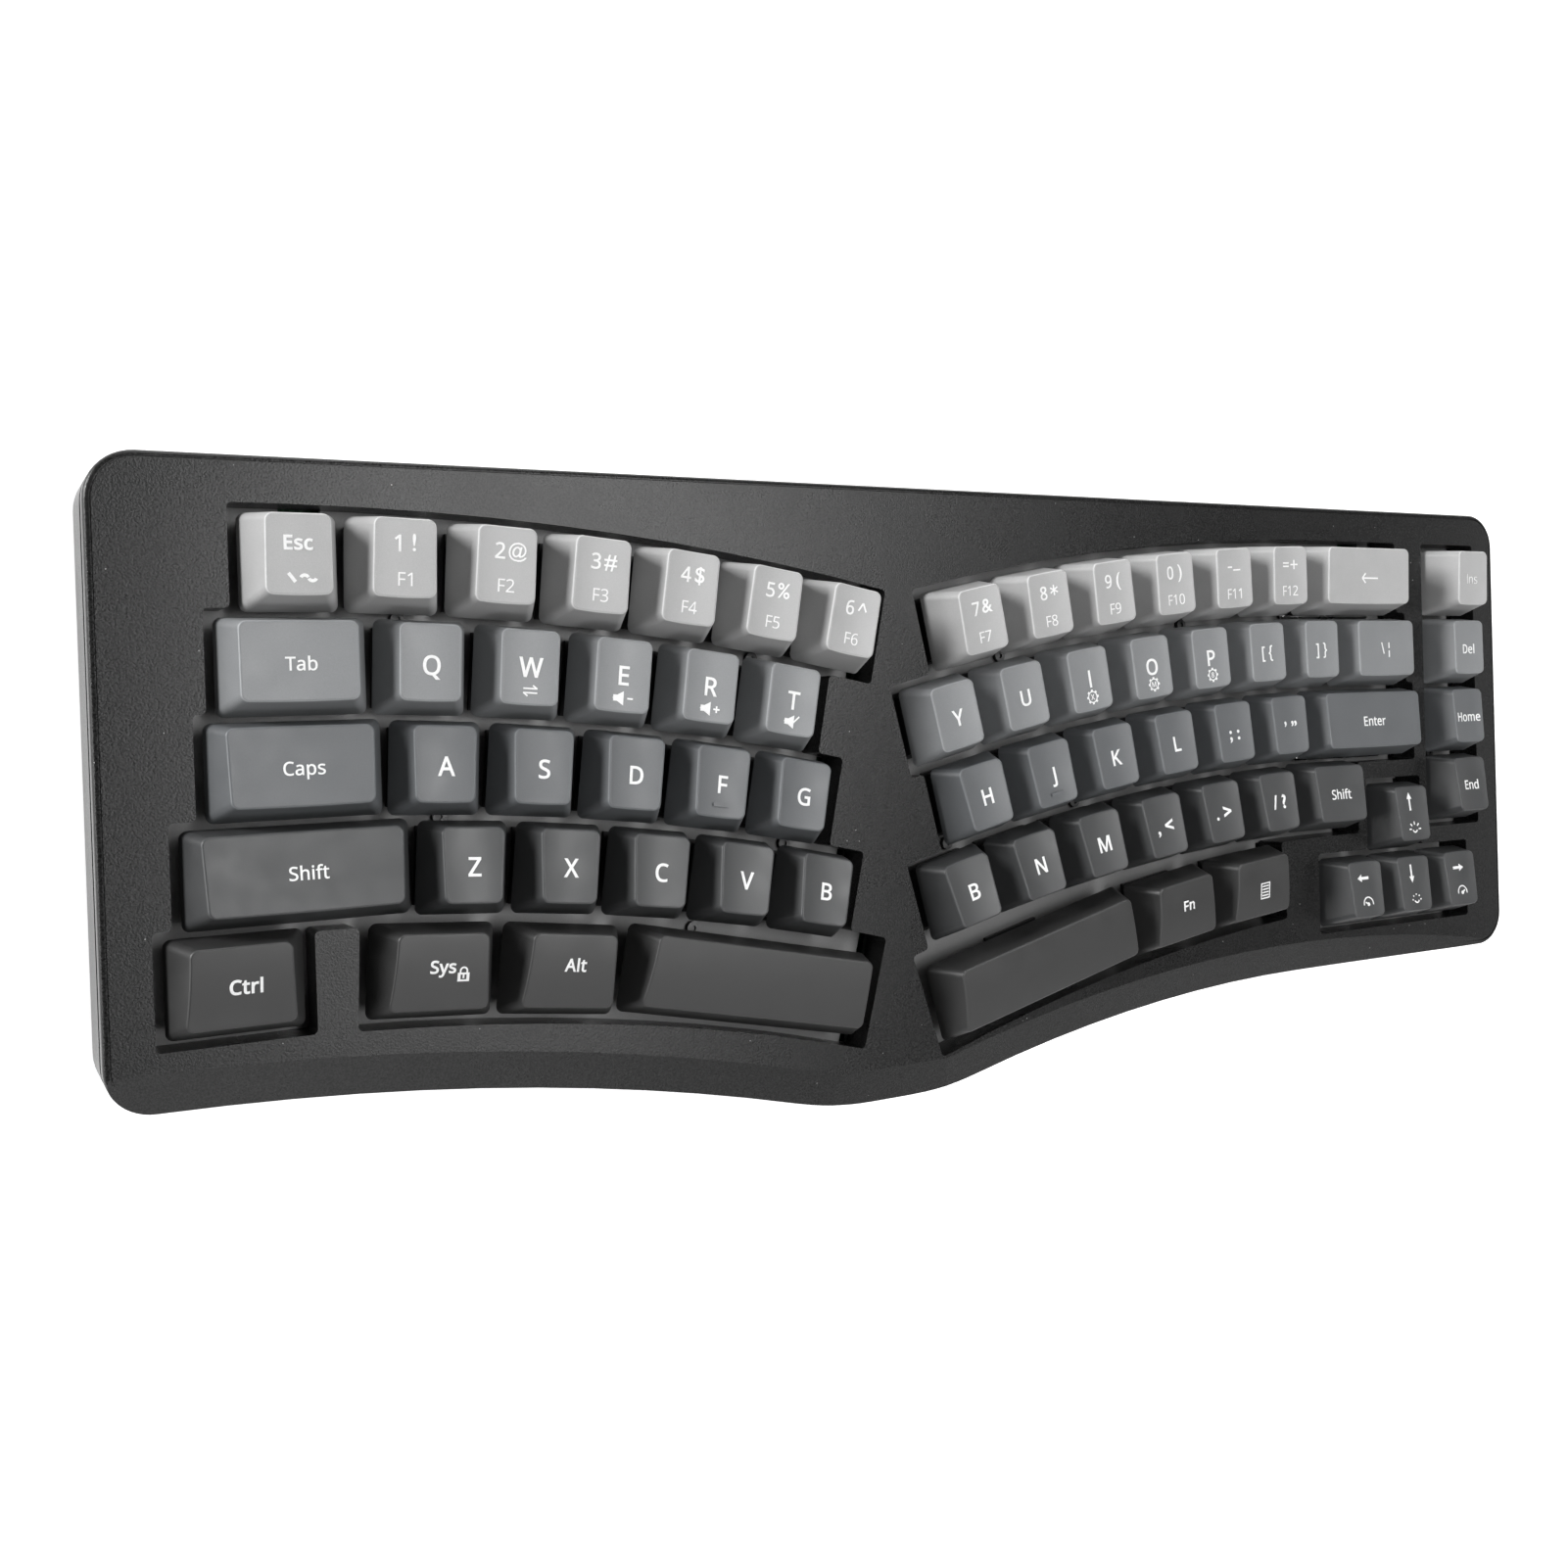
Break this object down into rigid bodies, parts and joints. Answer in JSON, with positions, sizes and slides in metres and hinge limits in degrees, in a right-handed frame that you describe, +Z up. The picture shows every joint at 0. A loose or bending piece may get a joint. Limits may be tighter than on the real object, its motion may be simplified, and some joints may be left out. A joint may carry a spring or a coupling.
{
  "type": "ergonomic keyboard",
  "caption": "Wired compact keyboard with two key blocks that fan out along arcs, a nose at the front, sculpted caps shaded by row, and fold-out feet below.",
  "frame": {"origin": "middle of the footprint, on the surface that the rubber feet stand on", "axes": "+X to the typist's right, +Y away from the typist, +Z up"},
  "size_m": [0.3774, 0.1372, 0.0295],
  "materials": {
    "case_plastic": "fine matt texture",
    "caps_row_1": "satin, light grey",
    "caps_row_2": "satin, slate grey",
    "caps_row_3": "satin, mid grey",
    "caps_row_4": "satin, dark grey",
    "caps_row_5": "satin, charcoal",
    "plate_metal": "dark satin paint",
    "board": "solder mask",
    "foam": "closed-cell foam",
    "switch_plastic": "black nylon",
    "spring_steel": "plain",
    "port_metal": "satin",
    "screw_steel": "black oxide",
    "foot_rubber": "matt",
    "foot_plastic": "fine matt texture"
  },
  "bodies": {
    "case": {"top_case": "case_plastic", "bottom_case": "case_plastic", "switch_plate": "plate_metal", "rubber_feet": "foot_rubber", "circuit_board": "board", "sound_foam": "foam", "switch_housings": "switch_plastic", "switch_springs": "spring_steel", "stabiliser_housings": "switch_plastic", "stabiliser_wires": "spring_steel", "usb_port": "port_metal", "screws": "screw_steel"},
    "tilt_foot_left": {"tilt_foot_left": "foot_plastic"},
    "tilt_foot_right": {"tilt_foot_right": "foot_plastic"},
    "key_space_left": {"key_space_left": "caps_row_5"},
    "key_space_right": {"key_space_right": "caps_row_5"},
    "key_enter": {"key_enter": "caps_row_3"},
    "key_backspace": {"key_backspace": "caps_row_1"},
    "key_shift_left": {"key_shift_left": "caps_row_4"},
    "keys_digits_left": {"keys_digits_left": "caps_row_1"},
    "keys_digits_right": {"keys_digits_right": "caps_row_1"},
    "keys_punctuation": {"keys_punctuation": "caps_row_3"},
    "keys_navigation": {"keys_navigation": "caps_row_2"},
    "keys_arrows": {"keys_arrows": "caps_row_4"},
    "key_escape": {"key_escape": "caps_row_1"},
    "key_tab": {"key_tab": "caps_row_2"},
    "key_caps_lock": {"key_caps_lock": "caps_row_3"},
    "key_control": {"key_control": "caps_row_5"},
    "key_system": {"key_system": "caps_row_5"},
    "key_alt": {"key_alt": "caps_row_5"},
    "key_function": {"key_function": "caps_row_5"},
    "key_menu": {"key_menu": "caps_row_5"},
    "key_shift_right": {"key_shift_right": "caps_row_4"},
    "key_b_left": {"key_b_left": "caps_row_4"},
    "key_b_right": {"key_b_right": "caps_row_4"},
    "key_a": {"key_a": "caps_row_3"},
    "key_c": {"key_c": "caps_row_4"},
    "key_d": {"key_d": "caps_row_3"},
    "key_e": {"key_e": "caps_row_2"},
    "key_f": {"key_f": "caps_row_3"},
    "key_g": {"key_g": "caps_row_3"},
    "key_h": {"key_h": "caps_row_3"},
    "key_i": {"key_i": "caps_row_2"},
    "key_j": {"key_j": "caps_row_3"},
    "key_k": {"key_k": "caps_row_3"},
    "key_l": {"key_l": "caps_row_3"},
    "key_m": {"key_m": "caps_row_4"},
    "key_n": {"key_n": "caps_row_4"},
    "key_o": {"key_o": "caps_row_2"},
    "key_p": {"key_p": "caps_row_2"},
    "key_q": {"key_q": "caps_row_2"},
    "key_r": {"key_r": "caps_row_2"},
    "key_s": {"key_s": "caps_row_3"},
    "key_t": {"key_t": "caps_row_2"},
    "key_u": {"key_u": "caps_row_2"},
    "key_v": {"key_v": "caps_row_4"},
    "key_w": {"key_w": "caps_row_2"},
    "key_x": {"key_x": "caps_row_4"},
    "key_y": {"key_y": "caps_row_2"},
    "key_z": {"key_z": "caps_row_4"}
  },
  "joints": [
    {"name": "tilt_foot_left_hinge", "type": "hinge", "parent": "case", "child": "tilt_foot_left", "pos_m": [-0.1527, 0.0486, 0.003], "axis": [1, 0, 0], "range_deg": [0, 80]},
    {"name": "tilt_foot_right_hinge", "type": "hinge", "parent": "case", "child": "tilt_foot_right", "pos_m": [0.1527, 0.0486, 0.003], "axis": [1, 0, 0], "range_deg": [0, 80]},
    {"name": "key_space_left_travel", "type": "slide", "parent": "case", "child": "key_space_left", "axis": [0, 0, -1], "range_m": [0, 0.0038], "stiffness_N_per_m": 60, "springref_m": -0.0058},
    {"name": "key_space_right_travel", "type": "slide", "parent": "case", "child": "key_space_right", "axis": [0, 0, -1], "range_m": [0, 0.0038], "stiffness_N_per_m": 60, "springref_m": -0.0058},
    {"name": "key_enter_travel", "type": "slide", "parent": "case", "child": "key_enter", "axis": [0, 0, -1], "range_m": [0, 0.0038], "stiffness_N_per_m": 60, "springref_m": -0.0058},
    {"name": "key_backspace_travel", "type": "slide", "parent": "case", "child": "key_backspace", "axis": [0, 0, -1], "range_m": [0, 0.0038], "stiffness_N_per_m": 60, "springref_m": -0.0058},
    {"name": "key_shift_left_travel", "type": "slide", "parent": "case", "child": "key_shift_left", "axis": [0, 0, -1], "range_m": [0, 0.0038], "stiffness_N_per_m": 60, "springref_m": -0.0058},
    {"name": "keys_digits_left_travel", "type": "slide", "parent": "case", "child": "keys_digits_left", "axis": [0, 0, -1], "range_m": [0, 0.0038], "stiffness_N_per_m": 360, "springref_m": -0.0058},
    {"name": "keys_digits_right_travel", "type": "slide", "parent": "case", "child": "keys_digits_right", "axis": [0, 0, -1], "range_m": [0, 0.0038], "stiffness_N_per_m": 360, "springref_m": -0.0058},
    {"name": "keys_punctuation_travel", "type": "slide", "parent": "case", "child": "keys_punctuation", "axis": [0, 0, -1], "range_m": [0, 0.0038], "stiffness_N_per_m": 480, "springref_m": -0.0058},
    {"name": "keys_navigation_travel", "type": "slide", "parent": "case", "child": "keys_navigation", "axis": [0, 0, -1], "range_m": [0, 0.0038], "stiffness_N_per_m": 240, "springref_m": -0.0058},
    {"name": "keys_arrows_travel", "type": "slide", "parent": "case", "child": "keys_arrows", "axis": [0, 0, -1], "range_m": [0, 0.0038], "stiffness_N_per_m": 240, "springref_m": -0.0058},
    {"name": "key_escape_travel", "type": "slide", "parent": "case", "child": "key_escape", "axis": [0, 0, -1], "range_m": [0, 0.0038], "stiffness_N_per_m": 60, "springref_m": -0.0058},
    {"name": "key_tab_travel", "type": "slide", "parent": "case", "child": "key_tab", "axis": [0, 0, -1], "range_m": [0, 0.0038], "stiffness_N_per_m": 60, "springref_m": -0.0058},
    {"name": "key_caps_lock_travel", "type": "slide", "parent": "case", "child": "key_caps_lock", "axis": [0, 0, -1], "range_m": [0, 0.0038], "stiffness_N_per_m": 60, "springref_m": -0.0058},
    {"name": "key_control_travel", "type": "slide", "parent": "case", "child": "key_control", "axis": [0, 0, -1], "range_m": [0, 0.0038], "stiffness_N_per_m": 60, "springref_m": -0.0058},
    {"name": "key_system_travel", "type": "slide", "parent": "case", "child": "key_system", "axis": [0, 0, -1], "range_m": [0, 0.0038], "stiffness_N_per_m": 60, "springref_m": -0.0058},
    {"name": "key_alt_travel", "type": "slide", "parent": "case", "child": "key_alt", "axis": [0, 0, -1], "range_m": [0, 0.0038], "stiffness_N_per_m": 60, "springref_m": -0.0058},
    {"name": "key_function_travel", "type": "slide", "parent": "case", "child": "key_function", "axis": [0, 0, -1], "range_m": [0, 0.0038], "stiffness_N_per_m": 60, "springref_m": -0.0058},
    {"name": "key_menu_travel", "type": "slide", "parent": "case", "child": "key_menu", "axis": [0, 0, -1], "range_m": [0, 0.0038], "stiffness_N_per_m": 60, "springref_m": -0.0058},
    {"name": "key_shift_right_travel", "type": "slide", "parent": "case", "child": "key_shift_right", "axis": [0, 0, -1], "range_m": [0, 0.0038], "stiffness_N_per_m": 60, "springref_m": -0.0058},
    {"name": "key_b_left_travel", "type": "slide", "parent": "case", "child": "key_b_left", "axis": [0, 0, -1], "range_m": [0, 0.0038], "stiffness_N_per_m": 60, "springref_m": -0.0058},
    {"name": "key_b_right_travel", "type": "slide", "parent": "case", "child": "key_b_right", "axis": [0, 0, -1], "range_m": [0, 0.0038], "stiffness_N_per_m": 60, "springref_m": -0.0058},
    {"name": "key_a_travel", "type": "slide", "parent": "case", "child": "key_a", "axis": [0, 0, -1], "range_m": [0, 0.0038], "stiffness_N_per_m": 60, "springref_m": -0.0058},
    {"name": "key_c_travel", "type": "slide", "parent": "case", "child": "key_c", "axis": [0, 0, -1], "range_m": [0, 0.0038], "stiffness_N_per_m": 60, "springref_m": -0.0058},
    {"name": "key_d_travel", "type": "slide", "parent": "case", "child": "key_d", "axis": [0, 0, -1], "range_m": [0, 0.0038], "stiffness_N_per_m": 60, "springref_m": -0.0058},
    {"name": "key_e_travel", "type": "slide", "parent": "case", "child": "key_e", "axis": [0, 0, -1], "range_m": [0, 0.0038], "stiffness_N_per_m": 60, "springref_m": -0.0058},
    {"name": "key_f_travel", "type": "slide", "parent": "case", "child": "key_f", "axis": [0, 0, -1], "range_m": [0, 0.0038], "stiffness_N_per_m": 60, "springref_m": -0.0058},
    {"name": "key_g_travel", "type": "slide", "parent": "case", "child": "key_g", "axis": [0, 0, -1], "range_m": [0, 0.0038], "stiffness_N_per_m": 60, "springref_m": -0.0058},
    {"name": "key_h_travel", "type": "slide", "parent": "case", "child": "key_h", "axis": [0, 0, -1], "range_m": [0, 0.0038], "stiffness_N_per_m": 60, "springref_m": -0.0058},
    {"name": "key_i_travel", "type": "slide", "parent": "case", "child": "key_i", "axis": [0, 0, -1], "range_m": [0, 0.0038], "stiffness_N_per_m": 60, "springref_m": -0.0058},
    {"name": "key_j_travel", "type": "slide", "parent": "case", "child": "key_j", "axis": [0, 0, -1], "range_m": [0, 0.0038], "stiffness_N_per_m": 60, "springref_m": -0.0058},
    {"name": "key_k_travel", "type": "slide", "parent": "case", "child": "key_k", "axis": [0, 0, -1], "range_m": [0, 0.0038], "stiffness_N_per_m": 60, "springref_m": -0.0058},
    {"name": "key_l_travel", "type": "slide", "parent": "case", "child": "key_l", "axis": [0, 0, -1], "range_m": [0, 0.0038], "stiffness_N_per_m": 60, "springref_m": -0.0058},
    {"name": "key_m_travel", "type": "slide", "parent": "case", "child": "key_m", "axis": [0, 0, -1], "range_m": [0, 0.0038], "stiffness_N_per_m": 60, "springref_m": -0.0058},
    {"name": "key_n_travel", "type": "slide", "parent": "case", "child": "key_n", "axis": [0, 0, -1], "range_m": [0, 0.0038], "stiffness_N_per_m": 60, "springref_m": -0.0058},
    {"name": "key_o_travel", "type": "slide", "parent": "case", "child": "key_o", "axis": [0, 0, -1], "range_m": [0, 0.0038], "stiffness_N_per_m": 60, "springref_m": -0.0058},
    {"name": "key_p_travel", "type": "slide", "parent": "case", "child": "key_p", "axis": [0, 0, -1], "range_m": [0, 0.0038], "stiffness_N_per_m": 60, "springref_m": -0.0058},
    {"name": "key_q_travel", "type": "slide", "parent": "case", "child": "key_q", "axis": [0, 0, -1], "range_m": [0, 0.0038], "stiffness_N_per_m": 60, "springref_m": -0.0058},
    {"name": "key_r_travel", "type": "slide", "parent": "case", "child": "key_r", "axis": [0, 0, -1], "range_m": [0, 0.0038], "stiffness_N_per_m": 60, "springref_m": -0.0058},
    {"name": "key_s_travel", "type": "slide", "parent": "case", "child": "key_s", "axis": [0, 0, -1], "range_m": [0, 0.0038], "stiffness_N_per_m": 60, "springref_m": -0.0058},
    {"name": "key_t_travel", "type": "slide", "parent": "case", "child": "key_t", "axis": [0, 0, -1], "range_m": [0, 0.0038], "stiffness_N_per_m": 60, "springref_m": -0.0058},
    {"name": "key_u_travel", "type": "slide", "parent": "case", "child": "key_u", "axis": [0, 0, -1], "range_m": [0, 0.0038], "stiffness_N_per_m": 60, "springref_m": -0.0058},
    {"name": "key_v_travel", "type": "slide", "parent": "case", "child": "key_v", "axis": [0, 0, -1], "range_m": [0, 0.0038], "stiffness_N_per_m": 60, "springref_m": -0.0058},
    {"name": "key_w_travel", "type": "slide", "parent": "case", "child": "key_w", "axis": [0, 0, -1], "range_m": [0, 0.0038], "stiffness_N_per_m": 60, "springref_m": -0.0058},
    {"name": "key_x_travel", "type": "slide", "parent": "case", "child": "key_x", "axis": [0, 0, -1], "range_m": [0, 0.0038], "stiffness_N_per_m": 60, "springref_m": -0.0058},
    {"name": "key_y_travel", "type": "slide", "parent": "case", "child": "key_y", "axis": [0, 0, -1], "range_m": [0, 0.0038], "stiffness_N_per_m": 60, "springref_m": -0.0058},
    {"name": "key_z_travel", "type": "slide", "parent": "case", "child": "key_z", "axis": [0, 0, -1], "range_m": [0, 0.0038], "stiffness_N_per_m": 60, "springref_m": -0.0058}
  ]
}
